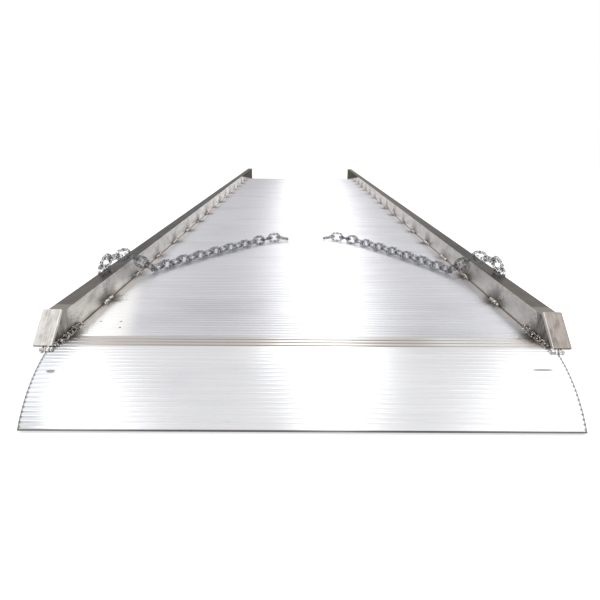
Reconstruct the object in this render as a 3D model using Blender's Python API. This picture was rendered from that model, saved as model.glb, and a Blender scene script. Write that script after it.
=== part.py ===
"""Overlap style walk ramp: a welded aluminium ramp with a ribbed deck between two outward
facing channel rails, a curved ribbed lip that overlaps the upper landing, a sloping approach
at the ground end, and two safety chains hooked through the rail flanges.

Frame: +X across the ramp, +Y from the lip to the ground end, +Z up, origin on the floor
below the middle of the bounding box. Lengths are in metres.
"""

import math

import bmesh
import bpy
import numpy as np
from mathutils import Matrix, Vector

MM = 0.001
GAP = 0.3 * MM

# Deck, built from planks laid across the ramp.
USABLE_WIDTH = 711.2 * MM
PLANK_WIDTH = 158.75 * MM
PLANKS_PER_PANEL = 4
PANEL_COUNT = 4
RIDGES_PER_PLANK = 16
RIDGE_HEIGHT = 0.9 * MM
RIDGE_HALF_WIDTH = 1.3 * MM
SKIN = 4.0 * MM
SEAM_DEPTH = 1.6 * MM
SEAM_HALF_WIDTH = 1.2 * MM
LEGS_PER_PLANK = 2
LEG_DEPTH = 38.0 * MM
LEG_WALL = 3.5 * MM
FOOT_WIDTH = 16.0 * MM
FOOT_WALL = 3.5 * MM

# Side rails, channels with the web inside and both flanges turned outward.
RAIL_DEPTH = 108.0 * MM
RAIL_FLANGE = 27.0 * MM
RAIL_WALL = 4.0 * MM
CURB_HEIGHT = 38.1 * MM
NOSE_REACH = 40.5 * MM
NOSE_LEVEL = 1.0 * MM
NOSE_SLOPE = math.radians(42.5)
UNDERCUT_SLOPE = math.radians(45.0)
CAP_WALL = 4.8 * MM
CAP_RISE = 5.4 * MM

# Lip, a bent plate that lies on the upper landing.
LIP_OVERHANG = 6.8 * MM
LIP_WALL = 4.8 * MM
LIP_FLAT = 33.0 * MM
LIP_FIRST_RADIUS = 76.0 * MM
LIP_FIRST_BEND = math.radians(20.0)
LIP_FULL_BEND = math.radians(53.0)
LIP_GROOVES = 3
LIP_GROOVE_PITCH = 10.0 * MM
LIP_GROOVE_DEPTH = 1.2 * MM
LIP_GROOVE_HALF_WIDTH = 1.0 * MM
LIP_RIDGE_PITCH = 6.35 * MM
LIP_RIDGE_HEIGHT = 0.6 * MM
LIP_RIDGE_HALF_WIDTH = 1.4 * MM
LIP_SMOOTH_EDGE = 10.0 * MM
LIP_STEP = 6.0 * MM
CORNER_CLEARANCE = 2.5 * MM

# Approach, the plate that runs down to the ground between the rails.
APPROACH_RUN = 365.6 * MM
APPROACH_WALL = 4.8 * MM
APPROACH_RIDGE_PITCH = 9.9 * MM
APPROACH_LEG_AT = 0.3

# Safety chains of quarter inch proof coil.
WIRE = 7.1 * MM
LINK_INSIDE_LENGTH = 26.6 * MM
LINK_INSIDE_WIDTH = 12.7 * MM
LINK_CLEARANCE = 0.5 * MM
LAY_CLEARANCE = 0.6 * MM
WIRE_SIDES = 8
BOW_STEPS = 4
PATH_STEPS = 6
HALVINGS = 16
ANCHOR_AT = 209.0 * MM
ANCHOR_RISE = 13.2 * MM
ANCHOR_HOLE = 12.0 * MM
HOLE_SIDES = 24
HOLE_FROM_WEB = 7.4 * MM

# The links of each stretch of chain that moves as one, from the flange hole to the loose end.
ANCHOR_LINKS = 1
SADDLE_LINKS = 4
DROP_LINKS = 2
RUN_LINKS = 6
MIDDLE_LINKS = 6
TAIL_LINKS = 4
END_LINKS = 1

# Where links point, in degrees: heading from +Y towards the middle of the ramp, rise above
# level, and how far they lean over. The way down is scaled so that the run lands on the deck,
# and the two runs cross the deck at unlike headings, as loose chains do.
OVER_RAIL = ((12, 28), (22, 0), (27, -7))
DOWN_TO_DECK = ((31, 28, -10), (32, 34, -20), (32, 26, -30))
DROP_SCALES = (0.2, 2.0)
RUN_HEADINGS = {"left": 32, "right": 26}
RUN_TURN = 0.75
RUN_LEAN = -40
TAIL = ((42, 2, -50), (45, 2, -60), (50, 1, -70), (62, 0, -80), (70, -12, -90))

STRETCHES = {
    "anchor": ANCHOR_LINKS,
    "saddle": SADDLE_LINKS,
    "drop": DROP_LINKS,
    "run": RUN_LINKS,
    "middle": MIDDLE_LINKS,
    "tail": TAIL_LINKS,
    "end": END_LINKS,
}
LINK_COUNT = sum(STRETCHES.values())
BOW_RADIUS = (LINK_INSIDE_WIDTH + WIRE) / 2
DECK_HEIGHT = RAIL_DEPTH - CURB_HEIGHT
LIP_FIRST_DROP = LIP_FIRST_RADIUS * (1 - math.cos(LIP_FIRST_BEND))
LIP_SECOND_RADIUS = (
    DECK_HEIGHT - (LIP_RIDGE_HEIGHT + LIP_WALL) * math.cos(LIP_FULL_BEND) - LIP_FIRST_DROP
) / (math.cos(LIP_FIRST_BEND) - math.cos(LIP_FULL_BEND))
LIP_WIDTH = USABLE_WIDTH + 2 * LIP_OVERHANG
LIP_RUN = (
    LIP_FLAT
    + LIP_FIRST_RADIUS * math.sin(LIP_FIRST_BEND)
    + LIP_SECOND_RADIUS * (math.sin(LIP_FULL_BEND) - math.sin(LIP_FIRST_BEND))
    - LIP_RIDGE_HEIGHT * math.sin(LIP_FULL_BEND)
)
PANEL_LENGTH = PLANKS_PER_PANEL * PLANK_WIDTH
DECK_LENGTH = PANEL_COUNT * PANEL_LENGTH
DECK_START = LIP_RUN - (LIP_RUN + DECK_LENGTH + APPROACH_RUN) / 2
CREST = DECK_START + DECK_LENGTH
GROUND_END = CREST + APPROACH_RUN
HALF_DECK = USABLE_WIDTH / 2 - GAP
WEB_X = USABLE_WIDTH / 2
RAIL_EDGE_X = WEB_X + RAIL_FLANGE
RAIL_TOP = DECK_HEIGHT + CURB_HEIGHT


def clear_scene():
    for old in list(bpy.data.objects):
        bpy.data.objects.remove(old, do_unlink=True)


def finish(name, colour, roughness, metallic):
    material = bpy.data.materials.new(name)
    material.use_nodes = True
    shader = material.node_tree.nodes["Principled BSDF"]
    shader.inputs["Base Color"].default_value = (*colour, 1.0)
    shader.inputs["Roughness"].default_value = roughness
    shader.inputs["Metallic"].default_value = metallic
    return material


def make_object(name, bm, material):
    bmesh.ops.recalc_face_normals(bm, faces=bm.faces)
    mesh = bpy.data.meshes.new(name)
    bm.to_mesh(mesh)
    bm.free()
    mesh.materials.append(material)
    obj = bpy.data.objects.new(name, mesh)
    bpy.context.scene.collection.objects.link(obj)
    return obj


def extrude(outline, axis, start, end):
    """A closed prism: outline holds (across, up) points, swept along X or Y."""
    bm = bmesh.new()
    ends = []
    for place in (start, end):
        if axis == "X":
            points = [(place, a, b) for a, b in outline]
        else:
            points = [(a, place, b) for a, b in outline]
        ends.append([bm.verts.new(point) for point in points])
    bm.faces.new(ends[0])
    bm.faces.new(ends[1])
    count = len(outline)
    for i in range(count):
        j = (i + 1) % count
        bm.faces.new((ends[0][i], ends[0][j], ends[1][j], ends[1][i]))
    return bm


def slice_off(bm, point, normal):
    """Removes what lies on the normal's side of a plane and closes the cut."""
    geometry = bm.verts[:] + bm.edges[:] + bm.faces[:]
    cut = bmesh.ops.bisect_plane(
        bm, geom=geometry, plane_co=point, plane_no=normal, clear_outer=True
    )
    edges = [item for item in cut["geom_cut"] if isinstance(item, bmesh.types.BMEdge)]
    bmesh.ops.edgeloop_fill(bm, edges=edges)


def subtract(obj, cutter):
    cutter.hide_render = True
    cutter.display_type = "WIRE"
    modifier = obj.modifiers.new("cut", "BOOLEAN")
    modifier.operation = "DIFFERENCE"
    modifier.solver = "EXACT"
    modifier.object = cutter


def ridge(place, half_width, height):
    """Three points of one anti-slip ridge, as (distance along, height above the crest line)."""
    return [(place - half_width, -height), (place, 0.0), (place + half_width, -height)]


def leg(place, top, bottom, wall, foot, foot_wall):
    """Eight points of a stiffening leg with a foot, listed from +Y to -Y."""
    foot_top = bottom + foot_wall
    return [
        (place + wall / 2, top),
        (place + wall / 2, foot_top),
        (place + foot / 2, foot_top),
        (place + foot / 2, bottom),
        (place - foot / 2, bottom),
        (place - foot / 2, foot_top),
        (place - wall / 2, foot_top),
        (place - wall / 2, top),
    ]


def deck_panel(index, material):
    """Planks welded edge to edge, one profile across the whole panel."""
    start = DECK_START + index * PANEL_LENGTH + GAP / 2
    end = DECK_START + (index + 1) * PANEL_LENGTH - GAP / 2
    pitch = PLANK_WIDTH / RIDGES_PER_PLANK
    skin_bottom = DECK_HEIGHT - RIDGE_HEIGHT - SKIN
    outline = []
    for plank in range(PLANKS_PER_PANEL):
        edge = DECK_START + index * PANEL_LENGTH + plank * PLANK_WIDTH
        left = max(edge, start)
        right = min(edge + PLANK_WIDTH, end)
        outline.append((left, DECK_HEIGHT - RIDGE_HEIGHT - SEAM_DEPTH))
        outline.append((left + SEAM_HALF_WIDTH, DECK_HEIGHT - RIDGE_HEIGHT))
        for number in range(RIDGES_PER_PLANK):
            middle = edge + (number + 0.5) * pitch
            points = ridge(middle, RIDGE_HALF_WIDTH, RIDGE_HEIGHT)
            outline.extend((y, DECK_HEIGHT + z) for y, z in points)
        outline.append((right - SEAM_HALF_WIDTH, DECK_HEIGHT - RIDGE_HEIGHT))
    outline.append((end, DECK_HEIGHT - RIDGE_HEIGHT - SEAM_DEPTH))
    outline.append((end, skin_bottom))
    leg_pitch = PLANK_WIDTH / LEGS_PER_PLANK
    for number in reversed(range(PLANKS_PER_PANEL * LEGS_PER_PLANK)):
        middle = DECK_START + index * PANEL_LENGTH + (number + 0.5) * leg_pitch
        outline.extend(
            leg(middle, skin_bottom, DECK_HEIGHT - LEG_DEPTH, LEG_WALL, FOOT_WIDTH, FOOT_WALL)
        )
    outline.append((start, skin_bottom))
    bm = extrude(outline, "X", -HALF_DECK, HALF_DECK)
    return make_object(f"deck_panel_{index + 1}", bm, material)


def lip_frame(distance):
    """(y, z, bend) of the lip's top face at a distance along it from the deck's edge."""
    first_arc = LIP_FIRST_RADIUS * LIP_FIRST_BEND
    if distance <= LIP_FLAT:
        return DECK_START - distance, DECK_HEIGHT, 0.0
    if distance <= LIP_FLAT + first_arc:
        bend = (distance - LIP_FLAT) / LIP_FIRST_RADIUS
        y = DECK_START - LIP_FLAT - LIP_FIRST_RADIUS * math.sin(bend)
        z = DECK_HEIGHT - LIP_FIRST_RADIUS * (1 - math.cos(bend))
        return y, z, bend
    bend = LIP_FIRST_BEND + (distance - LIP_FLAT - first_arc) / LIP_SECOND_RADIUS
    first_run = LIP_FLAT + LIP_FIRST_RADIUS * math.sin(LIP_FIRST_BEND)
    y = DECK_START - first_run - LIP_SECOND_RADIUS * (math.sin(bend) - math.sin(LIP_FIRST_BEND))
    drop = LIP_FIRST_DROP + LIP_SECOND_RADIUS * (math.cos(LIP_FIRST_BEND) - math.cos(bend))
    return y, DECK_HEIGHT - drop, bend


def lip_point(distance, height):
    """A point that stands a height off the lip's top face."""
    y, z, bend = lip_frame(distance)
    return y - height * math.sin(bend), z + height * math.cos(bend)


def lip_plate(material):
    """The curved lip: a few grooves along its flat, then fine ridges down to a smooth edge."""
    second_arc = LIP_SECOND_RADIUS * (LIP_FULL_BEND - LIP_FIRST_BEND)
    length = LIP_FLAT + LIP_FIRST_RADIUS * LIP_FIRST_BEND + second_arc
    profile = [(GAP, 0.0)]
    for number in range(LIP_GROOVES):
        middle = (number + 1) * LIP_GROOVE_PITCH
        profile.append((middle - LIP_GROOVE_HALF_WIDTH, 0.0))
        profile.append((middle, -LIP_GROOVE_DEPTH))
        profile.append((middle + LIP_GROOVE_HALF_WIDTH, 0.0))
    ridge_at = LIP_FLAT + LIP_RIDGE_PITCH
    while ridge_at < length - LIP_SMOOTH_EDGE:
        profile.extend(ridge(ridge_at, LIP_RIDGE_HALF_WIDTH, LIP_RIDGE_HEIGHT))
        ridge_at += LIP_RIDGE_PITCH
    while ridge_at < length - LIP_STEP / 2:
        profile.append((ridge_at, -LIP_RIDGE_HEIGHT))
        ridge_at += LIP_STEP
    profile.append((length, -LIP_RIDGE_HEIGHT))
    bottom = -LIP_RIDGE_HEIGHT - LIP_WALL
    steps = round((length - LIP_FLAT) / (2 * LIP_STEP))
    for number in reversed(range(steps + 1)):
        profile.append((LIP_FLAT + (length - LIP_FLAT) * number / steps, bottom))
    profile.append((GAP, bottom))
    outline = [lip_point(distance, height) for distance, height in profile]
    lip = make_object("lip_plate", extrude(outline, "X", -LIP_WIDTH / 2, LIP_WIDTH / 2), material)
    corner_reach = NOSE_REACH + CAP_WALL + CORNER_CLEARANCE
    corner = [
        (DECK_START - corner_reach, 0.0),
        (DECK_START + corner_reach, 0.0),
        (DECK_START + corner_reach, RAIL_TOP),
        (DECK_START - corner_reach, RAIL_TOP),
    ]
    for side, word in ((-1, "left"), (1, "right")):
        inside, outside = sorted((side * HALF_DECK, side * LIP_WIDTH))
        cutter = make_object(f"{word}_lip_corner", extrude(corner, "X", inside, outside), material)
        subtract(lip, cutter)
    return lip


def approach_plate(material):
    """The last plate, which slopes from the deck down to the floor between the rails."""
    top = DECK_HEIGHT - RIDGE_HEIGHT
    fall = top - APPROACH_WALL
    start = CREST + GAP / 2
    run = GROUND_END - start
    slope = math.atan2(fall, run)
    length = math.hypot(fall, run)

    def place(along, height):
        y = start + along * math.cos(slope) + height * math.sin(slope)
        z = DECK_HEIGHT - along * math.sin(slope) + height * math.cos(slope)
        return y, z

    outline = [(start, top)]
    ridge_at = APPROACH_RIDGE_PITCH / 2
    while ridge_at < length - 2 * RIDGE_HALF_WIDTH:
        points = ridge(ridge_at, RIDGE_HALF_WIDTH, RIDGE_HEIGHT)
        outline.extend(place(along, height) for along, height in points)
        ridge_at += APPROACH_RIDGE_PITCH
    outline.append((GROUND_END, top - fall))
    outline.append((GROUND_END, 0.0))
    leg_y = start + APPROACH_LEG_AT * run
    under = top - APPROACH_WALL
    for y, z in leg(leg_y, under, under - LEG_DEPTH, LEG_WALL, FOOT_WIDTH, FOOT_WALL):
        drop = (y - start) * math.tan(slope)
        outline.append((y, z - drop))
    outline.append((start, under))
    bm = extrude(outline, "X", -HALF_DECK, HALF_DECK)
    return make_object("approach_plate", bm, material)


def nose_line(offset):
    """(y, z) of the foot of the sloping rail end, moved off the cut by a distance."""
    y = DECK_START - NOSE_REACH - offset * math.sin(NOSE_SLOPE)
    z = DECK_HEIGHT + NOSE_LEVEL + offset * math.cos(NOSE_SLOPE)
    return y, z


def side_rail(side, word, material):
    """A channel with its web against the deck, cut to a nose at the lip and square at the ground."""
    web_out = WEB_X + RAIL_WALL
    profile = [
        (WEB_X, 0.0),
        (RAIL_EDGE_X, 0.0),
        (RAIL_EDGE_X, RAIL_WALL),
        (web_out, RAIL_WALL),
        (web_out, RAIL_TOP - RAIL_WALL),
        (RAIL_EDGE_X, RAIL_TOP - RAIL_WALL),
        (RAIL_EDGE_X, RAIL_TOP),
        (WEB_X, RAIL_TOP),
    ]
    profile = [(side * x, z) for x, z in profile]
    bm = extrude(profile, "Y", DECK_START - 2 * RAIL_DEPTH, GROUND_END - CAP_WALL - GAP)
    nose_y, nose_z = nose_line(0.0)
    slice_off(
        bm,
        (0.0, nose_y, nose_z),
        (0.0, -math.sin(NOSE_SLOPE), math.cos(NOSE_SLOPE)),
    )
    slice_off(
        bm,
        (0.0, nose_y, nose_z),
        (0.0, -math.sin(UNDERCUT_SLOPE), -math.cos(UNDERCUT_SLOPE)),
    )
    rail = make_object(f"{word}_side_rail", bm, material)
    drill = bmesh.new()
    bmesh.ops.create_cone(
        drill,
        cap_ends=True,
        segments=HOLE_SIDES,
        radius1=ANCHOR_HOLE / 2,
        radius2=ANCHOR_HOLE / 2,
        depth=4 * RAIL_WALL,
    )
    hole_x = side * (web_out + HOLE_FROM_WEB)
    hole = (hole_x, DECK_START + ANCHOR_AT, RAIL_TOP - RAIL_WALL / 2)
    bmesh.ops.translate(drill, verts=drill.verts, vec=hole)
    subtract(rail, make_object(f"{word}_chain_hole", drill, material))
    return rail


def nose_cap(side, word, material):
    """The sloping plate welded over the rail's open end beside the lip."""
    foot_y, foot_z = nose_line(GAP)
    rise = RAIL_TOP + CAP_RISE - foot_z - CAP_WALL * math.cos(NOSE_SLOPE)
    run = rise / math.tan(NOSE_SLOPE)
    front_y = -CAP_WALL * math.sin(NOSE_SLOPE)
    front_z = CAP_WALL * math.cos(NOSE_SLOPE)
    outline = [
        (foot_y, foot_z),
        (foot_y + run, foot_z + rise),
        (foot_y + run + front_y, foot_z + rise + front_z),
        (foot_y + front_y, foot_z + front_z),
    ]
    inside, outside = sorted((side * WEB_X, side * RAIL_EDGE_X))
    return make_object(f"{word}_nose_cap", extrude(outline, "X", inside, outside), material)


def ground_cap(side, word, material):
    """The upright plate welded over the rail's open end at the ground."""
    start = GROUND_END - CAP_WALL
    outline = [(start, 0.0), (GROUND_END, 0.0), (GROUND_END, RAIL_TOP), (start, RAIL_TOP)]
    inside, outside = sorted((side * WEB_X, side * RAIL_EDGE_X))
    return make_object(f"{word}_ground_cap", extrude(outline, "X", inside, outside), material)


def link_outline():
    """Corners of a link's wire, as (centre, outward) in the link's own flat frame."""
    bow_centre = (LINK_INSIDE_LENGTH - LINK_INSIDE_WIDTH) / 2
    corners = []
    for end in (1, -1):
        for step in range(BOW_STEPS + 1):
            turn = math.pi * (step / BOW_STEPS - 0.5)
            outward = Vector((end * math.cos(turn), end * math.sin(turn), 0.0))
            corners.append((Vector((end * bow_centre, 0.0, 0.0)) + BOW_RADIUS * outward, outward))
    return corners


def link_mesh(material):
    """One welded link, long along X and flat in XY: a round wire swept round two bows."""
    rings = []
    bm = bmesh.new()
    for centre, outward in link_outline():
        ring = []
        for number in range(WIRE_SIDES):
            angle = 2 * math.pi * number / WIRE_SIDES
            offset = outward * math.cos(angle) + Vector((0, 0, 1)) * math.sin(angle)
            ring.append(bm.verts.new(centre + offset * WIRE / 2))
        rings.append(ring)
    for number, ring in enumerate(rings):
        following = rings[(number + 1) % len(rings)]
        for i in range(WIRE_SIDES):
            j = (i + 1) % WIRE_SIDES
            bm.faces.new((ring[i], ring[j], following[j], following[i]))
    bmesh.ops.recalc_face_normals(bm, faces=bm.faces)
    mesh = bpy.data.meshes.new("chain_link")
    bm.to_mesh(mesh)
    bm.free()
    mesh.materials.append(material)
    mesh.shade_smooth()
    return mesh


def link_axes(heading, rise, roll):
    """(along, across, normal) of a link. A roll of 0 lies flat and 90 stands on edge."""
    heading, rise, roll = (math.radians(angle) for angle in (heading, rise, roll))
    along = Vector(
        (
            -math.sin(heading) * math.cos(rise),
            math.cos(heading) * math.cos(rise),
            math.sin(rise),
        )
    )
    level = Vector((math.cos(heading), math.sin(heading), 0.0))
    turn = Matrix.Rotation(roll, 3, along)
    across = turn @ level
    return along, across, along.cross(across)


def link_directions(drop_scale, run_heading):
    """(heading, rise, roll) of links 2 to the last: even links stand on edge, odd ones lie flat."""
    lay = [(heading, rise, 0) for heading, rise in OVER_RAIL]
    lay += [(heading, -rise * drop_scale, lean) for heading, rise, lean in DOWN_TO_DECK]
    level_links = LINK_COUNT - ANCHOR_LINKS - len(lay) - len(TAIL)
    lay += [(run_heading + RUN_TURN * number, 0, RUN_LEAN) for number in range(level_links)]
    lay += TAIL
    return [
        (heading, rise, 90 * ((number + 1) % 2) + lean)
        for number, (heading, rise, lean) in enumerate(lay)
    ]


def wire_path(centre, axes):
    """Points all round the middle of a link's wire."""
    corners = [centre + place.x * axes[0] + place.y * axes[1] for place, _ in link_outline()]
    following = corners[1:] + corners[:1]
    steps = [step / PATH_STEPS for step in range(PATH_STEPS)]
    return np.array([a.lerp(b, step) for a, b in zip(corners, following) for step in steps])


def hook(held_centre, held, axes):
    """Centre of a link that holds the one before, drawn tight to the clearance.

    Both links pull on the line halfway between them, and each wire bears where its bow faces
    that line.
    """
    bow_centre = (LINK_INSIDE_LENGTH - LINK_INSIDE_WIDTH) / 2
    pull = (held[0] + axes[0]).normalized()
    ahead = (pull - pull.project(held[2])).normalized()
    behind = (pull - pull.project(axes[2])).normalized()
    bearing = held_centre + bow_centre * held[0] + BOW_RADIUS * ahead
    before = wire_path(held_centre, held)
    across_flats = WIRE * math.cos(math.pi / WIRE_SIDES)
    near, far = WIRE / 2, 1.5 * WIRE
    for _ in range(HALVINGS):
        back = (near + far) / 2
        centre = bearing - back * pull + BOW_RADIUS * behind + bow_centre * axes[0]
        after = wire_path(centre, axes)
        apart = np.linalg.norm(before[:, None] - after[None], axis=2).min()
        if apart < across_flats + LINK_CLEARANCE:
            near = back
        else:
            far = back
    return centre, bearing


def route_chain(drop_scale, run_heading):
    """Each link's (centre, axes, pivot, pivot axis), on the right side, in order.

    The first link stands upright in the flange hole and round the flange's edge.
    """
    reach = LINK_INSIDE_LENGTH / 2 + WIRE / 2
    bow_x = WEB_X + RAIL_WALL + HOLE_FROM_WEB + BOW_RADIUS
    up, across = Vector((0, 0, 1)), Vector((1, 0, 0))
    axes = (up, across, up.cross(across))
    centre = Vector((bow_x, DECK_START + ANCHOR_AT, RAIL_TOP + ANCHOR_RISE - reach))
    in_flange = Vector((bow_x, DECK_START + ANCHOR_AT, RAIL_TOP - RAIL_WALL / 2))
    links = [(centre, axes, in_flange, across)]
    for heading, rise, roll in link_directions(drop_scale, run_heading):
        following = link_axes(heading, rise, roll)
        centre, bearing = hook(centre, axes, following)
        links.append((centre, following, bearing, axes[1]))
        axes = following
    return links


def settled_route(run_heading):
    """The route whose level run lies a clearance above the deck."""
    wanted = DECK_HEIGHT + LAY_CLEARANCE + BOW_RADIUS * math.cos(math.radians(RUN_LEAN)) + WIRE / 2
    low, high = DROP_SCALES
    first_level = ANCHOR_LINKS + len(OVER_RAIL) + len(DOWN_TO_DECK)
    for _ in range(HALVINGS):
        middle = (low + high) / 2
        if route_chain(middle, run_heading)[first_level][0].z > wanted:
            low = middle
        else:
            high = middle
    return route_chain(low, run_heading)


def safety_chain(side, word, route, mesh):
    """Every link is its own object, under an empty on the axis that its stretch turns about."""
    mirror = Matrix.Diagonal((side, 1, 1, 1))
    stretch_of = [name for name, count in STRETCHES.items() for _ in range(count)]
    pivots = {}
    for number, (centre, axes, pivot, _) in enumerate(route, start=1):
        stretch = stretch_of[number - 1]
        if stretch not in pivots:
            empty = bpy.data.objects.new(f"{word}_chain_{stretch}_pivot", None)
            empty.location = mirror @ pivot
            bpy.context.scene.collection.objects.link(empty)
            pivots[stretch] = empty
        empty = pivots[stretch]
        along, across, normal = axes
        columns = Matrix((along, across, normal)).transposed().to_4x4()
        link = bpy.data.objects.new(f"{word}_chain_link_{number:02d}", mesh)
        bpy.context.scene.collection.objects.link(link)
        link.parent = empty
        link.matrix_parent_inverse = Matrix.Translation(-empty.location)
        link.matrix_basis = mirror @ Matrix.Translation(centre) @ columns @ mirror


def build():
    clear_scene()
    mill_aluminium = finish("mill_aluminium", (0.72, 0.72, 0.74), 0.38, 0.9)
    rail_aluminium = finish("rail_aluminium", (0.55, 0.55, 0.55), 0.5, 0.85)
    cap_aluminium = finish("ground_aluminium", (0.66, 0.64, 0.62), 0.55, 0.85)
    zinc = finish("bright_zinc", (0.6, 0.61, 0.62), 0.28, 1.0)
    lip_plate(mill_aluminium)
    for index in range(PANEL_COUNT):
        deck_panel(index, mill_aluminium)
    approach_plate(mill_aluminium)
    chain_link = link_mesh(zinc)
    for side, word in ((-1, "left"), (1, "right")):
        side_rail(side, word, rail_aluminium)
        nose_cap(side, word, cap_aluminium)
        ground_cap(side, word, cap_aluminium)
        safety_chain(side, word, settled_route(RUN_HEADINGS[word]), chain_link)


build()
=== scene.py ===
"""Looks of the overlap style walk ramp: ribbed mill finish aluminium, sooty welds, ground nose
plates and bright zinc chains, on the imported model's own frame.

+X runs across the ramp, +Y from the lip to the ground end, +Z up. Lengths are in metres, but the
patterns of the finishes, and every name that ends in mm, are in millimetres.
"""

import math
import random

import bmesh
import bpy
from mathutils import Matrix, Vector


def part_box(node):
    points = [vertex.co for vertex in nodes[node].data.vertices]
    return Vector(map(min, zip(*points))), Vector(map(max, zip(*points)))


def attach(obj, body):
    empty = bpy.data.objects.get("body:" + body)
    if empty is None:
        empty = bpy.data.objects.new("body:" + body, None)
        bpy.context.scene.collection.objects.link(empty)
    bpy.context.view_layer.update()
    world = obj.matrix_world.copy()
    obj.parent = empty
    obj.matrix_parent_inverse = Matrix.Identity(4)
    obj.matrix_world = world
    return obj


MM = 0.001

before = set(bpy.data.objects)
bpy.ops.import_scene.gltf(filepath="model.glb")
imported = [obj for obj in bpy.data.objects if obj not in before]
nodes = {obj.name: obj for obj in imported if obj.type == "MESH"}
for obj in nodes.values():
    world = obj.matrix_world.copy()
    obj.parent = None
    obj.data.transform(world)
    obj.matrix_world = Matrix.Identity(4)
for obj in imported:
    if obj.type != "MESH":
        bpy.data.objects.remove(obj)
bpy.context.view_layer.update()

# Sizes of the solids that the finishes and welds follow.
PLANK_WIDTH = 158.75 * MM
RIDGE_HEIGHT = 0.9 * MM
LIP_GROOVE_PITCH_MM = 10.0
LIP_RIDGE_PITCH_MM = 6.35
LIP_FLAT_MM = 33.0
LIP_FIRST_RADIUS_MM = 76.0
LIP_SECOND_RADIUS_MM = 183.7
LIP_FIRST_BEND = math.radians(20.0)
SIDES = ((-1, "left"), (1, "right"))

# Places on the ramp: the deck's start and top, the rails' inner faces, the crest, the lip's side.
panel_low, panel_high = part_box("deck_panel_1")
DECK_START = panel_low.y
DECK_TOP = panel_high.z
WEB_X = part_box("right_side_rail")[0].x
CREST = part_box("approach_plate")[0].y
SEAM_COUNT = round((CREST - DECK_START) / PLANK_WIDTH) + 1
START_MM = DECK_START / MM
TOP_MM = DECK_TOP / MM
WEB_MM = WEB_X / MM
CREST_MM = CREST / MM
LIP_SIDE_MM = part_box("lip_plate")[1].x / MM

# Dings in the metal: each one's place across and along the ramp, and its reach both ways, in mm.
DECK_DINGS = (
    (-327.6, START_MM + 57.7, 2.6, 3.4),
    (-295.3, START_MM + 58.2, 2.6, 3.4),
    (-288.0, START_MM + 33.8, 2.2, 3.0),
)
LIP_DINGS = (
    (-341.0, START_MM - 82.0, 8.0, 2.6),
    (328.0, START_MM - 76.5, 20.0, 1.8),
)

# Weld soot on each surface: its reach in mm, and its squeeze along the rail, above 1 for a
# narrower fan.
DECK_SOOT = (40.0, 0.9)
LIP_SOOT = (44.0, 1.2)
WEB_SOOT = (46.0, 0.85)

# Stretches of the lip's grooved band, by their middle and reach across the ramp, in mm: a
# painted highlight on the band, and painted shade in its grooves.
LIP_BAND_HIGHLIGHT = (255.0, 95.0)
SHADED_GROOVES = (40.0, 140.0)

# Draw lines are drawn out across the ramp, and drag marks along the rails.
DRAW_LINE_STRETCH = (240, 1, 1)
DRAG_MARK_STRETCH = (1, 60, 1)

# Weld runs: their inset from the web, how far the cap's foot lies before the deck's start, and
# the seeds of the lumps on each side.
BEAD_INSET = 1.5 * MM
CAP_FOOT = 46 * MM
SEAM_SEEDS = {"left": 3, "right": 7}
CORNER_SEEDS = {"left": 5, "right": 11}
CAP_SEEDS = {"left": 4, "right": 13}

# The nose's runs: their reach past and before the deck's start, and how much their lumps wander.
# Each of the three has its place inward and above, and its radius, in mm.
CORNER_BACK = 42 * MM
CORNER_FRONT = 36 * MM
CORNER_SPREAD = 0.6
CORNER_RUNS = ((0.4, 0.2, 2.8), (4.0, -0.6, 1.9), (0.6, 4.4, 1.9))

# The floor, and the glow of the white room and its sky, which is dimmer near the horizon.
FLOOR_GAP = 1.0 * MM
FLOOR_HALF_WIDTH = 40.0
FLOOR_GLOW = 0.6
ROOM_GLOW = 0.45
HORIZON_GLOW = 0.3
DOME_GLOW = 0.83
DOME_RISE = 0.5

# Strip lamps: left and right end in metres, and power in watts.
STRIPS = (
    ("left_strip", -1.5, -0.9, 10.0),
    ("middle_strip", 0.055, 0.3, 4.2),
    ("right_strip", 0.92, 1.7, 9.0),
)
STRIP_HEIGHT = 1.4
STRIP_MIDDLE = -2.25
STRIP_LENGTH = 2.5
FAR_STRIP_PLACE = (0.13, 0.6, 1.7)
FAR_STRIP_WIDTH = 0.6
FAR_STRIP_LENGTH = 3.0
FAR_STRIP_POWER = 12.5


def linear(hex_colour):
    """An sRGB hex colour as linear red, green, blue and alpha."""
    channels = [int(hex_colour[i : i + 2], 16) / 255 for i in (1, 3, 5)]
    return [c / 12.92 if c <= 0.04045 else ((c + 0.055) / 1.055) ** 2.4 for c in channels] + [1.0]


def add(tree, kind, settings, inputs):
    """Adds a node with its settings. An input is a value, or a node or socket to link from.

    Inputs go by name or by number. A MapRange reads from 1 to 2 and gives 3 to 4, or 0 to 1
    where these are left out, and a Mix goes by its first input from its second to its third.
    """
    node = tree.nodes.new("ShaderNode" + kind)
    for name, value in settings.items():
        setattr(node, name, value)
    for key, value in inputs.items():
        if isinstance(value, bpy.types.Node):
            value = value.outputs[0]
        if isinstance(value, bpy.types.NodeSocket):
            tree.links.new(value, node.inputs[key])
        else:
            node.inputs[key].default_value = value
    return node


def new_metal(name):
    """A new metal material, with its tree, its shader and the place on the ramp in mm."""
    material = bpy.data.materials.new(name)
    material.use_nodes = True
    tree = material.node_tree
    shader = tree.nodes["Principled BSDF"]
    shader.inputs["Metallic"].default_value = 1.0
    spot = add(tree, "TexCoord", {}, {}).outputs["Object"]
    place = add(tree, "VectorMath", {"operation": "SCALE"}, {0: spot, "Scale": 1 / MM})
    return material, tree, shader, place


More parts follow.
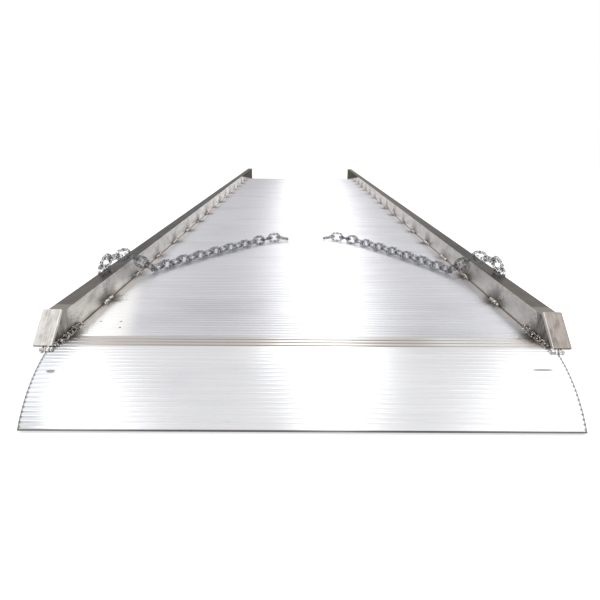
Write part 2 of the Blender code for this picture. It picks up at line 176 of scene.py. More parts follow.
def grain(tree, place, size_mm, stretch=(1, 1, 1)):
    """Soft noise from 0 to 1 with spots of a real size, drawn out along the axes by a stretch."""
    spots = [size_mm * factor for factor in stretch]
    scaled = add(tree, "VectorMath", {"operation": "DIVIDE"}, {0: place, 1: spots})
    return add(tree, "TexNoise", {}, {"Vector": scaled, "Scale": 1.0, "Detail": 3.0, "Roughness": 0.6})


def stain(tree, colour, towards, pattern, span, share=1.0):
    """Moves a colour towards another, up to a share, as a pattern goes over a span of values."""
    ends = {0: pattern, 1: span[0], 2: span[1], 3: 0.0, 4: share}
    amount = add(tree, "MapRange", {"interpolation_type": "SMOOTHSTEP"}, ends)
    return add(tree, "Mix", {"data_type": "RGBA"}, {0: amount, 6: colour, 7: linear(towards)}).outputs[2]


def from_seam(tree, y_mm):
    """Distance in mm along the ramp from the nearest plank seam, with its sign, and its number."""
    pitch = PLANK_WIDTH / MM
    shifted = add(tree, "Math", {"operation": "SUBTRACT"}, {0: y_mm, 1: START_MM - pitch / 2})
    wrapped = add(tree, "Math", {"operation": "FLOORED_MODULO"}, {0: shifted, 1: pitch})
    along = add(tree, "Math", {"operation": "SUBTRACT"}, {0: wrapped, 1: pitch / 2})
    planks = add(tree, "Math", {"operation": "DIVIDE"}, {0: shifted, 1: pitch})
    number = add(tree, "Math", {"operation": "FLOOR"}, {0: planks})
    return along, number


def soot_fan(tree, place, along, away, number, reach_mm, squeeze):
    """Weld soot in feathery spikes round a seam's end: 1 at the weld and 0 clear of it.

    along and away are distances in mm from the seam and from the corner of deck and web, and
    number tells one seam's fan from the next.
    """
    spokes_per_radian = 2.6
    fray_mm = 3.0
    side_seed = 0.37
    seed_step = 7.7
    x_mm = add(tree, "SeparateXYZ", {}, {0: place}).outputs[0]
    side = add(tree, "Math", {"operation": "SIGN"}, {0: x_mm})
    seed = add(tree, "Math", {"operation": "MULTIPLY_ADD"}, {0: side, 1: side_seed, 2: number})

    # How far the soot reaches differs from spoke to spoke.
    narrow = add(tree, "Math", {"operation": "MULTIPLY"}, {0: along, 1: squeeze})
    spread = add(tree, "Math", {"operation": "ARCTAN2"}, {0: narrow, 1: away})
    spoke = add(tree, "Math", {"operation": "MULTIPLY"}, {0: spread, 1: spokes_per_radian})
    far_seed = add(tree, "Math", {"operation": "MULTIPLY"}, {0: seed, 1: seed_step})
    spike_at = add(tree, "CombineXYZ", {}, {0: spoke, 1: far_seed})
    spikes = add(tree, "TexNoise", {}, {"Vector": spike_at, "Scale": 1.0, "Detail": 1.5, "Roughness": 0.6})
    ends = {0: spikes, 1: 0.3, 2: 0.7, 3: 0.7 * reach_mm, 4: 1.1 * reach_mm}
    reach = add(tree, "MapRange", {}, ends)

    # It thins out with the distance from the weld, and a fine grain frays its edge.
    flat = add(tree, "CombineXYZ", {}, {0: narrow, 1: away})
    distance = add(tree, "VectorMath", {"operation": "LENGTH"}, {0: flat}).outputs["Value"]
    fringe = add(tree, "MapRange", {}, {0: grain(tree, place, fray_mm), 1: 0.3, 2: 0.7, 3: 0.7, 4: 1.3})
    ragged = add(tree, "Math", {"operation": "MULTIPLY"}, {0: distance, 1: fringe})
    share = add(tree, "Math", {"operation": "DIVIDE"}, {0: ragged, 1: reach})
    fan = add(tree, "MapRange", {}, {0: share, 1: 1.0, 2: 0.15, 3: 0.0, 4: 1.0})

    # Finer spokes feather it, and some seams have less of it than others.
    fine_at = add(tree, "VectorMath", {"operation": "SCALE"}, {0: spike_at, "Scale": 2.0})
    feathers = add(tree, "TexNoise", {}, {"Vector": fine_at, "Scale": 1.0, "Detail": 2.0})
    thin = add(tree, "MapRange", {}, {0: feathers, 1: 0.35, 2: 0.6, 3: 0.75, 4: 1.0})
    feathery = add(tree, "Math", {"operation": "MULTIPLY"}, {0: fan, 1: thin})
    chance = add(tree, "TexWhiteNoise", {"noise_dimensions": "1D"}, {"W": seed})
    strength = add(tree, "MapRange", {}, {0: chance, 3: 0.55, 4: 1.0})
    return add(tree, "Math", {"operation": "MULTIPLY"}, {0: feathery, 1: strength})


def dings(tree, place, colour, marks):
    """Small dark dings, each given by its place and its reach across and along the ramp."""
    for x_mm, y_mm, x_reach_mm, y_reach_mm in marks:
        offset = add(tree, "VectorMath", {"operation": "SUBTRACT"}, {0: place, 1: (x_mm, y_mm, 0.0)})
        shrink = (1 / x_reach_mm, 1 / y_reach_mm, 0.0)
        scaled = add(tree, "VectorMath", {"operation": "MULTIPLY"}, {0: offset, 1: shrink})
        reach = add(tree, "VectorMath", {"operation": "LENGTH"}, {0: scaled}).outputs["Value"]
        colour = stain(tree, colour, "#5d5751", reach, (1.0, 0.5), 0.8)
    return colour


def stretch_shine(tree, shader):
    """Ridges and draw lines that run across the ramp pull each reflection out along it."""
    shader.inputs["Anisotropic"].default_value = 0.95
    along = add(tree, "Tangent", {"direction_type": "RADIAL", "axis": "X"}, {})
    tree.links.new(along.outputs[0], shader.inputs["Tangent"])


def deck_aluminium():
    """Ribbed mill finish extrusion: pale silver with draw lines across the ramp and faint grey
    clouds, a painted reflection as a whiter stretch by the left rail, a painted highlight at each
    plank seam, rib flanks darkened in part by dirt and in part by painted shade, a painted
    highlight and a dark line in the rail's corner, a brown weld line at the crest, three dings,
    and soot on the deck beside the seam welds."""
    # Distances in mm at which each mark starts to show and is at its full strength.
    painted_reflection_stretch = (-248.0, -280.0)
    seam_highlight = (2.6, 0.8)
    corner_glint = (9.0, 6.0)
    corner_line = (2.6, 1.0)
    crest_line = (13.0, 8.0)
    material, tree, shader, place = new_metal("ribbed_mill_aluminium")
    x_mm, y_mm, _ = add(tree, "SeparateXYZ", {}, {0: place}).outputs
    along, number = from_seam(tree, y_mm)
    off_seam = add(tree, "Math", {"operation": "ABSOLUTE"}, {0: along})
    across = add(tree, "Math", {"operation": "ABSOLUTE"}, {0: x_mm})
    from_web = add(tree, "Math", {"operation": "SUBTRACT"}, {0: WEB_MM, 1: across})
    past_start = add(tree, "Math", {"operation": "SUBTRACT"}, {0: y_mm, 1: START_MM})
    before_crest = add(tree, "Math", {"operation": "SUBTRACT"}, {0: CREST_MM, 1: y_mm})
    off_crest = add(tree, "Math", {"operation": "ABSOLUTE"}, {0: before_crest})

    # Draw lines of about 0.1 mm are drawn 1.3 mm wide, so that they show.
    lines = grain(tree, place, 1.3, DRAW_LINE_STRETCH)
    clouds = grain(tree, place, 90.0, (2.5, 1, 1))
    scuffs = grain(tree, place, 5.0, (8, 1, 1))
    colour = stain(tree, linear("#d9d9dd"), "#e9e9ee", lines, (0.35, 0.65))
    colour = stain(tree, colour, "#cfcfd2", clouds, (0.45, 0.75), 0.5)
    colour = stain(tree, colour, "#b9b9bb", scuffs, (0.62, 0.8), 0.35)

    # A painted reflection: the whiter stretch by the left rail narrows away from the lip.
    narrowing = 0.25
    leaning = add(tree, "Math", {"operation": "MULTIPLY_ADD"}, {0: past_start, 1: narrowing, 2: x_mm})
    colour = stain(tree, colour, "#fbfaf8", leaning, painted_reflection_stretch, 0.9)

    # Painted highlights: a bright line at each seam and a pale line in the rail's corner. Darker
    # flanks of the ribs, in part dirt and in part painted shade, and a dark line in the corner.
    normal = add(tree, "TexCoord", {}, {}).outputs["Normal"]
    facing = add(tree, "SeparateXYZ", {}, {0: normal})
    slope = add(tree, "Math", {"operation": "ABSOLUTE"}, {0: facing.outputs[1]})
    colour = stain(tree, colour, "#f6f6f6", off_seam, seam_highlight, 0.7)
    colour = stain(tree, colour, "#c4c3c4", slope, (0.2, 0.5), 0.25)
    colour = stain(tree, colour, "#e9e4e1", from_web, corner_glint, 0.8)
    colour = stain(tree, colour, "#3f3b37", from_web, corner_line, 0.9)

    # The weld line at the crest, the dings, and soot, which ends at the crest.
    colour = stain(tree, colour, "#a4978c", off_crest, crest_line, 0.9)
    colour = dings(tree, place, colour, DECK_DINGS)
    welded = add(tree, "MapRange", {}, {0: before_crest, 1: -20.0, 2: 0.0})
    fan = soot_fan(tree, place, along, from_web, number, *DECK_SOOT)
    soot = add(tree, "Math", {"operation": "MULTIPLY"}, {0: fan, 1: welded})
    colour = stain(tree, colour, "#746d65", soot, (0.0, 0.85), 0.9)
    tree.links.new(colour, shader.inputs["Base Color"])

    gloss = add(tree, "MapRange", {}, {0: lines, 1: 0.3, 2: 0.7, 3: 0.4, 4: 0.5})
    tree.links.new(gloss.outputs[0], shader.inputs["Roughness"])
    stretch_shine(tree, shader)
    bump = add(tree, "Bump", {}, {"Strength": 0.15, "Distance": 0.12 * MM, "Height": lines})
    tree.links.new(bump.outputs[0], shader.inputs["Normal"])
    return material


def lip_curve(tree, before, z_mm):
    """The lip's bend from the level at each place on its second arc, and the distance in mm
    along the lip from the deck. before is the distance before the deck's start."""
    tighter = LIP_FIRST_RADIUS_MM - LIP_SECOND_RADIUS_MM
    centre_ahead = LIP_FLAT_MM + tighter * math.sin(LIP_FIRST_BEND)
    first_drop = LIP_FIRST_RADIUS_MM * (1 - math.cos(LIP_FIRST_BEND))
    centre_down = first_drop + LIP_SECOND_RADIUS_MM * math.cos(LIP_FIRST_BEND)
    ahead = add(tree, "Math", {"operation": "SUBTRACT"}, {0: before, 1: centre_ahead})
    above = add(tree, "Math", {"operation": "SUBTRACT"}, {0: z_mm, 1: TOP_MM - centre_down})
    bend = add(tree, "Math", {"operation": "ARCTAN2"}, {0: ahead, 1: above})

    arc = {0: bend, 1: LIP_SECOND_RADIUS_MM, 2: LIP_FLAT_MM + tighter * LIP_FIRST_BEND}
    curved = add(tree, "Math", {"operation": "MULTIPLY_ADD"}, arc)
    second_start = LIP_FLAT_MM + LIP_FIRST_RADIUS_MM * math.sin(LIP_FIRST_BEND)
    on_curve = add(tree, "Math", {"operation": "GREATER_THAN"}, {0: before, 1: second_start})
    distance = add(tree, "Mix", {"data_type": "FLOAT"}, {0: on_curve, 2: before, 3: curved})
    return bend, distance


def near_middle(tree, x_mm, middle_mm, reach_mm):
    """1 about a place across the ramp, fading to 0 at its reach."""
    core = 0.4
    offset = add(tree, "Math", {"operation": "SUBTRACT"}, {0: x_mm, 1: middle_mm})
    offset = add(tree, "Math", {"operation": "ABSOLUTE"}, {0: offset})
    return add(tree, "MapRange", {}, {0: offset, 1: reach_mm, 2: core * reach_mm})


def lip_aluminium():
    """Mill finish lip plate: near white where it curves down, greyer at its left end, with a
    duller beige band along the grooves, which has a painted highlight in one stretch and painted
    shade in its grooves in another, a few rubbed marks, a dark rim, painted light and shade on
    the ridge flanks that face the camera, a grey line along its foot, and painted shade on its
    downward faces, which darkens its end."""
    # Distances in mm at which each mark starts to show and is at its full strength.
    grey_end = (66.0, 20.0)
    dark_rim = (4.8, 2.4)
    foot_line = (5.2, 4.4)
    material, tree, shader, place = new_metal("lip_mill_aluminium")
    x_mm, y_mm, z_mm = add(tree, "SeparateXYZ", {}, {0: place}).outputs
    normal = add(tree, "TexCoord", {}, {}).outputs["Normal"]
    facing = add(tree, "SeparateXYZ", {}, {0: normal})
    before = add(tree, "Math", {"operation": "SUBTRACT"}, {0: START_MM, 1: y_mm})
    across = add(tree, "Math", {"operation": "ABSOLUTE"}, {0: x_mm})
    bend, distance = lip_curve(tree, before, z_mm)

    # Draw lines of about 0.1 mm are drawn 1.1 mm wide, so that they show.
    lines = grain(tree, place, 1.1, DRAW_LINE_STRETCH)
    rubs = grain(tree, place, 3.0, (10, 1, 1))
    clouds = grain(tree, place, 60.0, (3, 1, 1))
    colour = stain(tree, linear("#f0f0f3"), "#fafafc", lines, (0.35, 0.65))
    colour = stain(tree, colour, "#e2e2e8", clouds, (0.5, 0.8), 0.4)
    colour = stain(tree, colour, "#c9c6c4", rubs, (0.66, 0.8), 0.3)

    # The flat band and its grooves: a painted highlight makes the band paler in one stretch, and
    # painted shade makes the grooves darker in another.
    on_band = add(tree, "Math", {"operation": "LESS_THAN"}, {0: before, 1: LIP_FLAT_MM})
    half_pitch = LIP_GROOVE_PITCH_MM / 2
    off_groove = add(tree, "Math", {"operation": "PINGPONG"}, {0: before, 1: half_pitch})
    groove = add(tree, "MapRange", {}, {0: off_groove, 1: 2.2, 2: 0.6})
    groove = add(tree, "Math", {"operation": "MULTIPLY"}, {0: groove, 1: on_band})
    band_highlight_stretch = near_middle(tree, x_mm, *LIP_BAND_HIGHLIGHT)
    band_highlight = add(tree, "Math", {"operation": "MULTIPLY"}, {0: band_highlight_stretch, 1: on_band})
    shaded_groove_stretch = near_middle(tree, x_mm, *SHADED_GROOVES)
    shaded_groove = add(tree, "Math", {"operation": "MULTIPLY"}, {0: shaded_groove_stretch, 1: groove})
    colour = stain(tree, colour, "#dad5d1", on_band, (0.2, 0.8))
    colour = stain(tree, colour, "#ffffff", band_highlight, (0.0, 1.0), 0.85)
    colour = stain(tree, colour, "#aaa19a", groove, (0.1, 0.9))
    colour = stain(tree, colour, "#5f5c5a", shaded_groove, (0.1, 0.9), 0.9)

    # The greyer left end and the dark rim, both broken by a line on each ridge. The lines lie
    # past the ridges' middles, on the flanks that face the camera, and are painted light and shade:
    # they lift the grey of the left end and widen the dark rim.
    flank_shift_mm = 0.9
    first_line = LIP_FLAT_MM + flank_shift_mm
    from_band = add(tree, "Math", {"operation": "SUBTRACT"}, {0: distance, 1: first_line})
    half_pitch = LIP_RIDGE_PITCH_MM / 2
    off_ridge = add(tree, "Math", {"operation": "PINGPONG"}, {0: from_band, 1: half_pitch})
    lit_flank_line = add(tree, "MapRange", {}, {0: off_ridge, 1: 1.6, 2: 0.8, 3: 0.0, 4: 12.0})
    from_left = add(tree, "Math", {"operation": "ADD"}, {0: x_mm, 1: LIP_SIDE_MM})
    ragged_left = add(tree, "Math", {"operation": "ADD"}, {0: from_left, 1: lit_flank_line})
    colour = stain(tree, colour, "#adafb2", ragged_left, grey_end, 0.9)
    from_side = add(tree, "Math", {"operation": "SUBTRACT"}, {0: LIP_SIDE_MM, 1: across})
    ragged_rim = add(tree, "Math", {"operation": "MULTIPLY_ADD"}, {0: off_ridge, 1: 0.7, 2: from_side})
    colour = stain(tree, colour, "#6a6a6b", ragged_rim, dark_rim, 0.9)
    colour = dings(tree, place, colour, LIP_DINGS)

    # Soot by the nose's welds, a grey line along the lip's foot, and painted shade on faces that
    # look down, which darkens the face that ends it.
    from_web = add(tree, "Math", {"operation": "SUBTRACT"}, {0: WEB_MM, 1: across})
    fan = soot_fan(tree, place, before, from_web, 0.0, *LIP_SOOT)
    near_band = add(tree, "MapRange", {}, {0: before, 1: 40.0, 2: 30.0})
    soot = add(tree, "Math", {"operation": "MULTIPLY"}, {0: fan, 1: near_band})
    colour = stain(tree, colour, "#6b6259", soot, (0.05, 0.85), 0.9)
    colour = stain(tree, colour, "#6a6765", z_mm, foot_line)
    # Painted shade on faces that look down.
    colour = stain(tree, colour, "#3d3b39", facing.outputs[2], (-0.2, -0.5))
    tree.links.new(colour, shader.inputs["Base Color"])

    shader.inputs["Roughness"].default_value = 0.35
    stretch_shine(tree, shader)

    # The real ridges are rounder than the modelled ones, so the shading leans to the smooth curve.
    rounded_share = 0.35
    back = add(tree, "Math", {"operation": "SINE"}, {0: bend})
    toward_nose = add(tree, "Math", {"operation": "MULTIPLY"}, {0: back, 1: -1.0})
    upward = add(tree, "Math", {"operation": "COSINE"}, {0: bend})
    smooth = add(tree, "CombineXYZ", {}, {1: toward_nose, 2: upward})
    on_top = add(tree, "MapRange", {}, {0: facing.outputs[2], 1: 0.1, 2: 0.3, 3: 0.0, 4: rounded_share})
    past_band = add(tree, "MapRange", {}, {0: before, 1: 44.0, 2: 60.0})
    share = add(tree, "Math", {"operation": "MULTIPLY"}, {0: on_top, 1: past_band})
    rounded = add(tree, "Mix", {"data_type": "VECTOR"}, {0: share, 4: normal, 5: smooth}).outputs[1]
    rounded = add(tree, "VectorMath", {"operation": "NORMALIZE"}, {0: rounded})
    relief = {"Strength": 0.12, "Distance": 0.12 * MM, "Height": lines, "Normal": rounded}
    bump = add(tree, "Bump", {}, relief)
    tree.links.new(bump.outputs[0], shader.inputs["Normal"])
    return material


def rail_aluminium():
    """Smooth mill finish channel: mottled silver web with long drag marks, paler towards the far
    end and on the right rail with a painted reflection of the deck, a dark dull top flange whose
    dark tone is partly its own and partly a painted dark reflection, a sooty brushed strip behind
    the nose, a plume of soot over every seam weld, and a dull inner face past the crest, painted
    dark as a dark reflection."""
    # Distances in mm at which each mark starts to show and is at its full strength.
    deck_reflection_reach = (150.0, 1500.0)
    olive_end = (200.0, 1100.0)
    pale_front = (420.0, 60.0)
    ground_front = (36.0, 30.0)
    material, tree, shader, place = new_metal("channel_mill_aluminium")
    x_mm, y_mm, z_mm = add(tree, "SeparateXYZ", {}, {0: place}).outputs
    normal = add(tree, "TexCoord", {}, {}).outputs["Normal"]
    facing = add(tree, "SeparateXYZ", {}, {0: normal})
    along, number = from_seam(tree, y_mm)
    height = add(tree, "Math", {"operation": "SUBTRACT"}, {0: z_mm, 1: TOP_MM})
    past_start = add(tree, "Math", {"operation": "SUBTRACT"}, {0: y_mm, 1: START_MM})
    past_crest = add(tree, "Math", {"operation": "SUBTRACT"}, {0: y_mm, 1: CREST_MM})
    side = add(tree, "Math", {"operation": "SIGN"}, {0: x_mm})
    across = add(tree, "Math", {"operation": "ABSOLUTE"}, {0: x_mm})
    inner_face = add(tree, "MapRange", {}, {0: across, 1: WEB_MM + 1.2, 2: WEB_MM + 0.6})

    # Drag marks of about 0.2 mm are drawn 1.6 mm wide, so that they show.
    drags = grain(tree, place, 1.6, DRAG_MARK_STRETCH)
    mottle = grain(tree, place, 14.0, (1, 2, 1))
    blotch = grain(tree, place, 60.0, (1, 2, 1))
    colour = stain(tree, linear("#b7b4ae"), "#c9c6c2", drags, (0.3, 0.7))
    colour = stain(tree, colour, "#96938d", mottle, (0.42, 0.7), 0.7)
    colour = stain(tree, colour, "#cbc8c6", blotch, (0.45, 0.7), 0.5)

    # Painted reflection of the bright deck: paler towards the far end, and lifted a little more
    # on the right rail than on the left.
    colour = stain(tree, colour, "#e6e1da", past_start, deck_reflection_reach, 0.75)
    colour = stain(tree, colour, "#e4e0da", side, (0.0, 0.5), 0.35)
    colour = stain(tree, colour, "#d8d4cd", side, (0.0, -0.5), 0.2)

    # Plumes of soot on the inner face, which end soon after the crest.
    welded = add(tree, "MapRange", {}, {0: past_crest, 1: 60.0, 2: 20.0})
    inner_weld = add(tree, "Math", {"operation": "MULTIPLY"}, {0: inner_face, 1: welded})
    fan = soot_fan(tree, place, along, height, number, *WEB_SOOT)
    soot = add(tree, "Math", {"operation": "MULTIPLY"}, {0: fan, 1: inner_weld})
    colour = stain(tree, colour, "#625b54", soot, (0.0, 0.8), 0.9)

    # The nose's brushed strip leans with the cap: its edge moves back as the web rises.
    nose_lean = -0.4
    nose_edge = add(tree, "Math", {"operation": "MULTIPLY_ADD"}, {0: height, 1: nose_lean, 2: past_start})
    streaks = grain(tree, place, 3.0, (1, 1, 8))
    nose = stain(tree, linear("#9a968f"), "#68635d", streaks, (0.35, 0.65))
    ends = {0: nose_edge, 1: 2.5, 2: -1.0}
    near_nose = add(tree, "MapRange", {"interpolation_type": "SMOOTHSTEP"}, ends)
    colour = add(tree, "Mix", {"data_type": "RGBA"}, {0: near_nose, 6: colour, 7: nose}).outputs[2]

    # Past the crest the inner face turns dull, and dark with a painted dark reflection, sooner
    # near its top.
    far_lean = 9.0
    far_reach_mm = 90.0
    slanted = add(tree, "Math", {"operation": "MULTIPLY_ADD"}, {0: height, 1: far_lean, 2: past_crest})
    far_face = add(tree, "Math", {"operation": "MULTIPLY"}, {0: slanted, 1: inner_face})
    colour = stain(tree, colour, "#5f594d", far_face, (0.0, far_reach_mm))

    # The top flange: its dark tone partly its own and partly a painted dark reflection, olive
    # towards the far right, paler near the nose, ground at its front end.
    on_top = add(tree, "MapRange", {}, {0: facing.outputs[2], 1: 0.5, 2: 0.9})
    far_right = add(tree, "Math", {"operation": "MULTIPLY"}, {0: past_start, 1: side})
    flange = stain(tree, linear("#4a4842"), "#6e6654", far_right, olive_end, 0.8)
    flange = stain(tree, flange, "#857f77", past_start, pale_front, 0.6)
    flange = stain(tree, flange, "#3f3c37", drags, (0.5, 0.7), 0.4)
    flange = stain(tree, flange, "#a39c93", past_start, ground_front, 0.8)
    colour = add(tree, "Mix", {"data_type": "RGBA"}, {0: on_top, 6: colour, 7: flange}).outputs[2]
    tree.links.new(colour, shader.inputs["Base Color"])

    gloss = add(tree, "MapRange", {}, {0: mottle, 1: 0.3, 2: 0.7, 3: 0.3, 4: 0.46})
    dull = add(tree, "MapRange", {}, {0: far_face, 1: 0.0, 2: far_reach_mm, 3: 0.0, 4: 0.5})
    gloss = add(tree, "Math", {"operation": "ADD"}, {0: gloss, 1: dull})
    tree.links.new(gloss.outputs[0], shader.inputs["Roughness"])
    bump = add(tree, "Bump", {}, {"Strength": 0.2, "Distance": 0.15 * MM, "Height": drags})
    tree.links.new(bump.outputs[0], shader.inputs["Normal"])
    return material


def cap_aluminium(name, bright, mid, dull):
    """Sawn plate dressed with a flap disc: short crossing scratches and a warm haze, with a
    bright edge along the web, and painted shade on its downward faces, which darkens the foot."""
    web_edge = (WEB_MM + 1.6, WEB_MM + 0.8)
    material, tree, shader, place = new_metal(name)

    # Scratches of about 0.1 mm are drawn 1.1 to 1.8 mm wide, so that they show.
    swirl = grain(tree, place, 1.8, (1, 16, 16))
    cross = grain(tree, place, 1.1, (7, 1.4, 1.4))
    haze = grain(tree, place, 12.0, (1, 2, 2))
    colour = stain(tree, linear(mid), bright, swirl, (0.3, 0.7))
    colour = stain(tree, colour, bright, cross, (0.55, 0.8), 0.6)
    colour = stain(tree, colour, dull, haze, (0.45, 0.75))
    x_mm = add(tree, "SeparateXYZ", {}, {0: place}).outputs[0]
    across = add(tree, "Math", {"operation": "ABSOLUTE"}, {0: x_mm})
    colour = stain(tree, colour, "#e9e7e4", across, web_edge, 0.6)
    normal = add(tree, "TexCoord", {}, {}).outputs["Normal"]
    facing = add(tree, "SeparateXYZ", {}, {0: normal})
    # Painted shade on faces that look down, which darkens the foot.
    colour = stain(tree, colour, "#1f1d1b", facing.outputs[2], (-0.1, -0.4))
    tree.links.new(colour, shader.inputs["Base Color"])

    gloss = add(tree, "MapRange", {}, {0: haze, 1: 0.3, 2: 0.7, 3: 0.42, 4: 0.56})
    tree.links.new(gloss.outputs[0], shader.inputs["Roughness"])
    bump = add(tree, "Bump", {}, {"Strength": 0.3, "Distance": 0.12 * MM, "Height": swirl})
    tree.links.new(bump.outputs[0], shader.inputs["Normal"])
    return material


def zinc_wire():
    """Bright zinc plated wire: dark mirror greys, which are painted dark reflections, with sharp
    highlights, duller where it rubs.
    """
    material, tree, shader, place = new_metal("bright_zinc_wire")
    patch = grain(tree, place, 5.0)
    # Painted dark reflections: these greys are darker than the zinc's own.
    colour = stain(tree, linear("#9b9d9e"), "#525355", patch, (0.4, 0.65))
    tree.links.new(colour, shader.inputs["Base Color"])
    gloss = add(tree, "MapRange", {}, {0: patch, 1: 0.3, 2: 0.7, 3: 0.1, 4: 0.24})
    tree.links.new(gloss.outputs[0], shader.inputs["Roughness"])
    bump = add(tree, "Bump", {}, {"Strength": 0.15, "Distance": 0.15 * MM, "Height": patch})
    tree.links.new(bump.outputs[0], shader.inputs["Normal"])
    return material


def weld_aluminium(name, shade, glint):
    """As welded aluminium: frosty silver ripples in a sooty grey, whose random bright spots are
    partly the metal's own and partly painted glints.
    """
    material, tree, shader, place = new_metal(name)
    rough = grain(tree, place, 3.4)
    # Random spots of the glint colour are painted glints, in part the weld's own frosty silver.
    colour = stain(tree, linear(shade), glint, rough, (0.44, 0.62))
    tree.links.new(colour, shader.inputs["Base Color"])
    shader.inputs["Roughness"].default_value = 0.45
    bump = add(tree, "Bump", {}, {"Strength": 0.5, "Distance": 0.4 * MM, "Height": rough})
    tree.links.new(bump.outputs[0], shader.inputs["Normal"])
    return material


def dress(names, material):
    """Gives the named solids one material."""
    for name in names:
        obj = nodes[name]
        obj.data.materials.clear()
        obj.data.materials.append(material)


def ripples(bm, start, end, radius, rng, spread=0.12):
    """A level fillet weld run from start to end: overlapping lumps of uneven size, which
    wander by a share of the radius."""
    spacing = 0.8
    length_share = 0.6
    least_size = 0.9
    most_size = 1.15
    run = end - start
    steps = max(2, round(run.length / (radius * spacing)))
    ahead = run.normalized()
    side = Vector((0, 0, 1)).cross(ahead).normalized()
    axes = Matrix((ahead, side, ahead.cross(side))).transposed().to_4x4()
    for number in range(steps + 1):
        wander = Vector([rng.uniform(-spread, spread) * radius for _ in range(3)])
        size = radius * rng.uniform(least_size - spread, most_size)
        squash = Matrix.Diagonal((size * length_share, size, size, 1.0))
        made = bmesh.ops.create_icosphere(bm, subdivisions=2, radius=1.0)
        place = Matrix.Translation(start + run * (number / steps) + wander) @ axes @ squash
        bmesh.ops.transform(bm, matrix=place, verts=made["verts"])


def finish_piece(name, bm, material):
    """Turns a mesh in the making into a smooth piece that rides on the frame."""
    mesh = bpy.data.meshes.new(name)
    bm.to_mesh(mesh)
    bm.free()
    mesh.shade_smooth()
    mesh.materials.append(material)
    obj = bpy.data.objects.new(name, mesh)
    bpy.context.scene.collection.objects.link(obj)
    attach(obj, "frame")


def seam_welds(side, word, material):
    """A short fillet run in the corner of deck and web at each plank seam."""
    off_seam_mm = (-3, 3)
    half_length_mm = (15, 21)
    radius_mm = (4.2, 5.2)
    above_grooves = 0.8 * MM
    crest_gap = 3 * MM
    bm = bmesh.new()
    rng = random.Random(SEAM_SEEDS[word])
    x = side * (WEB_X - BEAD_INSET)
    z = DECK_TOP - RIDGE_HEIGHT + above_grooves
    for number in range(1, SEAM_COUNT):
        middle = DECK_START + number * PLANK_WIDTH + rng.uniform(*off_seam_mm) * MM
        half = rng.uniform(*half_length_mm) * MM
        end = min(middle + half, CREST - crest_gap)
        radius = rng.uniform(*radius_mm) * MM
        ripples(bm, Vector((x, middle - half, z)), Vector((x, end, z)), radius, rng)
    finish_piece(f"{word}_seam_welds", bm, material)


def corner_welds(side, word, material):
    """Three thin uneven runs from the nose along the corner of lip, deck and web."""
    bm = bmesh.new()
    rng = random.Random(CORNER_SEEDS[word])
    x = side * (WEB_X - BEAD_INSET)
    back = Vector((x, DECK_START + CORNER_BACK, DECK_TOP))
    front = Vector((x, DECK_START - CORNER_FRONT, DECK_TOP))
    for inward, above, radius in CORNER_RUNS:
        shift = Vector((-side * inward * MM, 0.0, above * MM))
        ripples(bm, back + shift, front + shift, radius * MM, rng, CORNER_SPREAD)
    finish_piece(f"{word}_corner_welds", bm, material)


def cap_welds(side, word, material):
    """Blobs of weld that close the gap under the sloping cap's foot."""
    inward_reach = 1 * MM
    outward_reach = 13 * MM
    radius = 5.0 * MM
    sunk = 0.5 * MM
    bm = bmesh.new()
    rng = random.Random(CAP_SEEDS[word])
    front = DECK_START - CAP_FOOT
    z = DECK_TOP - sunk
    start = Vector((side * (WEB_X - inward_reach), front, z))
    end = Vector((side * (WEB_X + outward_reach), front, z))
    ripples(bm, start, end, radius, rng)
    finish_piece(f"{word}_cap_welds", bm, material)


def photograph_camera():
    """The photograph's camera: 27.5 mm lens, about 0.63 m before the deck and 0.29 m above it."""
    left_of_middle = 7.15 * MM
    before_deck = 630.74 * MM
    above_deck = 289.83 * MM
    place = Vector((-left_of_middle, DECK_START - before_deck, DECK_TOP + above_deck))
    pitch = math.radians(20.058)
    yaw = math.radians(0.2561)
    roll = math.radians(0.4341)
    data = bpy.data.cameras.new("photograph_camera")
    data.lens = 27.463
    data.sensor_width = 36.0
    data.clip_start = 0.01
    data.clip_end = 200.0
    camera = bpy.data.objects.new("photograph_camera", data)
    ahead = Vector((math.sin(yaw) * math.cos(pitch), math.cos(yaw) * math.cos(pitch), -math.sin(pitch)))
    level = Vector((math.cos(yaw), -math.sin(yaw), 0.0))
    above = level.cross(ahead)
    right = math.cos(roll) * level + math.sin(roll) * above
    up = math.cos(roll) * above - math.sin(roll) * level
    turn = Matrix((right, up, -ahead)).transposed().to_4x4()
    camera.matrix_world = Matrix.Translation(place) @ turn
    bpy.context.scene.collection.objects.link(camera)
    bpy.context.scene.camera = camera


def pale_floor():
    """A wide white floor that reads as pure white, with the ramp's own soft shadow on it.

    It lies just below the ramp, whose feet would share its plane otherwise.
    """
    material = bpy.data.materials.new("white_studio_floor")
    material.use_nodes = True
    tree = material.node_tree
    shader = tree.nodes["Principled BSDF"]
    shader.inputs["Base Color"].default_value = linear("#f4f4f4")
    shader.inputs["Roughness"].default_value = 0.9
    shader.inputs["Specular IOR Level"].default_value = 0.0
    shader.inputs["Emission Color"].default_value = (1.0, 1.0, 1.0, 1.0)
    path = add(tree, "LightPath", {}, {}).outputs
    kinds = {0: path["Is Glossy Ray"], 1: path["Is Transmission Ray"]}
    mirrored = add(tree, "Math", {"operation": "MAXIMUM"}, kinds)
    seen = add(tree, "Math", {"operation": "MAXIMUM"}, {0: path["Is Camera Ray"], 1: mirrored})
    glow = add(tree, "Math", {"operation": "MULTIPLY"}, {0: seen, 1: FLOOR_GLOW})
    tree.links.new(glow.outputs[0], shader.inputs["Emission Strength"])

    bm = bmesh.new()
    bmesh.ops.create_grid(bm, x_segments=1, y_segments=1, size=FLOOR_HALF_WIDTH)
    mesh = bpy.data.meshes.new("studio_floor")
    bm.to_mesh(mesh)
    bm.free()
    mesh.materials.append(material)
    floor = bpy.data.objects.new("studio_floor", mesh)
    floor.location = (0.0, 0.0, -FLOOR_GAP)
    bpy.context.scene.collection.objects.link(floor)


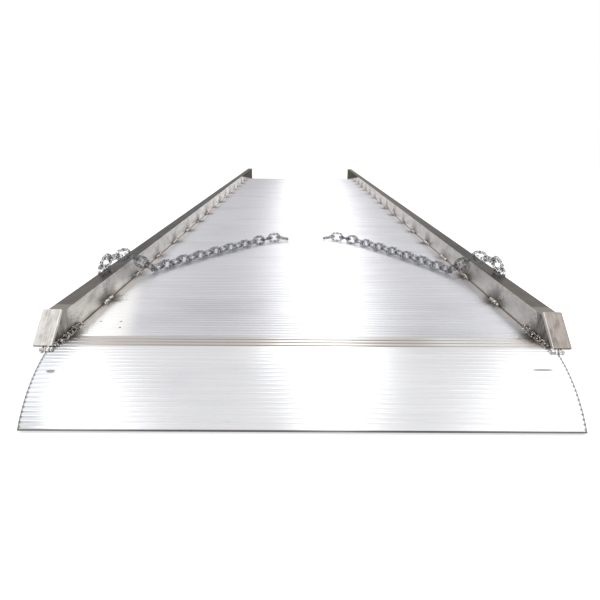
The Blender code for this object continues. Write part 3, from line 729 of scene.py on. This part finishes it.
def white_world():
    """White where it is seen, soft on the metal: dimmer towards the horizon than overhead."""
    world = bpy.data.worlds.new("white_studio")
    bpy.context.scene.world = world
    world.use_nodes = True
    tree = world.node_tree
    shade = tree.nodes["Background"]
    shade.inputs["Color"].default_value = (1.0, 1.0, 1.0, 1.0)
    path = add(tree, "LightPath", {}, {}).outputs
    direction = add(tree, "TexCoord", {}, {}).outputs["Generated"]
    rise = add(tree, "SeparateXYZ", {}, {0: direction}).outputs[2]
    sky = {0: rise, 1: 0.0, 2: DOME_RISE, 3: HORIZON_GLOW, 4: DOME_GLOW}
    dome = add(tree, "MapRange", {"interpolation_type": "SMOOTHSTEP"}, sky)
    glossy = add(tree, "Math", {"operation": "MULTIPLY"}, {0: path["Is Glossy Ray"], 1: dome})
    kinds = {0: path["Is Camera Ray"], 1: path["Is Transmission Ray"]}
    seen = add(tree, "Math", {"operation": "MAXIMUM"}, kinds)
    lit = add(tree, "Math", {"operation": "MAXIMUM"}, {0: seen, 1: glossy})
    plain = add(tree, "Math", {"operation": "MULTIPLY"}, {0: path["Is Diffuse Ray"], 1: ROOM_GLOW})
    strength = add(tree, "Math", {"operation": "MAXIMUM"}, {0: lit, 1: plain})
    tree.links.new(strength.outputs[0], shade.inputs["Strength"])


def softbox(name, place, width, length, power):
    """A soft rectangular lamp, which faces straight down as it is made."""
    data = bpy.data.lights.new(name, "AREA")
    data.shape = "RECTANGLE"
    data.size = width
    data.size_y = length
    data.energy = power
    lamp = bpy.data.objects.new(name, data)
    lamp.location = place
    bpy.context.scene.collection.objects.link(lamp)


dress([f"deck_panel_{i}" for i in (1, 2, 3, 4)] + ["approach_plate"], deck_aluminium())
dress(["lip_plate"], lip_aluminium())
dress(["left_side_rail", "right_side_rail"], rail_aluminium())
left_cap = cap_aluminium("left_ground_aluminium", "#c8c6c3", "#aaa7a3", "#9c968f")
right_cap = cap_aluminium("right_ground_aluminium", "#a49d97", "#948c86", "#7f766f")
dress(["left_nose_cap", "left_ground_cap"], left_cap)
dress(["right_nose_cap", "right_ground_cap"], right_cap)
chain_nodes = [name for name in nodes if "chain_link" in name]
dress(chain_nodes, zinc_wire())
for name in chain_nodes:
    nodes[name].data.shade_smooth()
    rounder = nodes[name].modifiers.new("rounder", "SUBSURF")
    rounder.levels = 1
    rounder.render_levels = 1

sooty_weld = weld_aluminium("sooty_weld_aluminium", "#7c7670", "#e9e7e4")
clean_weld = weld_aluminium("clean_weld_aluminium", "#b1ada8", "#f6f5f4")
for side, word in SIDES:
    seam_welds(side, word, sooty_weld)
    corner_welds(side, word, sooty_weld)
    cap_welds(side, word, clean_weld)

photograph_camera()
pale_floor()
white_world()

# Long strip lamps over the camera, whose stretched reflections make the deck's pale bands.
for name, low, high, power in STRIPS:
    place = ((low + high) / 2, STRIP_MIDDLE, STRIP_HEIGHT)
    softbox(name, place, high - low, STRIP_LENGTH, power)

# A wider lamp over the far half, which carries the middle band on to the deck's far end.
softbox("far_strip", FAR_STRIP_PLACE, FAR_STRIP_WIDTH, FAR_STRIP_LENGTH, FAR_STRIP_POWER)

bpy.context.scene.view_settings.view_transform = "Standard"
